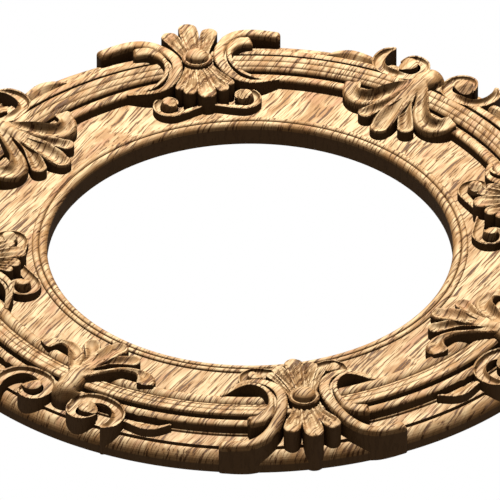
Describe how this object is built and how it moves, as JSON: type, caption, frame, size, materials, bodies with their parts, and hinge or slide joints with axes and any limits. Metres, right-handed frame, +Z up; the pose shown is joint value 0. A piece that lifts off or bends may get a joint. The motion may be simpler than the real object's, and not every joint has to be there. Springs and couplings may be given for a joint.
{
  "type": "round carved wooden frame",
  "caption": "Round frame carved from one wooden board: beaded mouldings round a circular opening, with palmettes between C scrolls and acanthus leaves with volutes.",
  "frame": {"origin": "centre of the round opening, on the frame's flat back", "axes": "hung upright: +Z up, the carved face looks along -Y and the flat back lies in the plane Y = 0; one palmette is at the top, one at the bottom and one at each side, with a leaf at 45 degrees between them"},
  "size_m": [0.7056, 0.0524, 0.7056],
  "materials": {
    "carved_wood": "satin, unstained, with fine dark grain streaks"
  },
  "bodies": {
    "root": {"carved_frame": "carved_wood"}
  },
  "joints": []
}
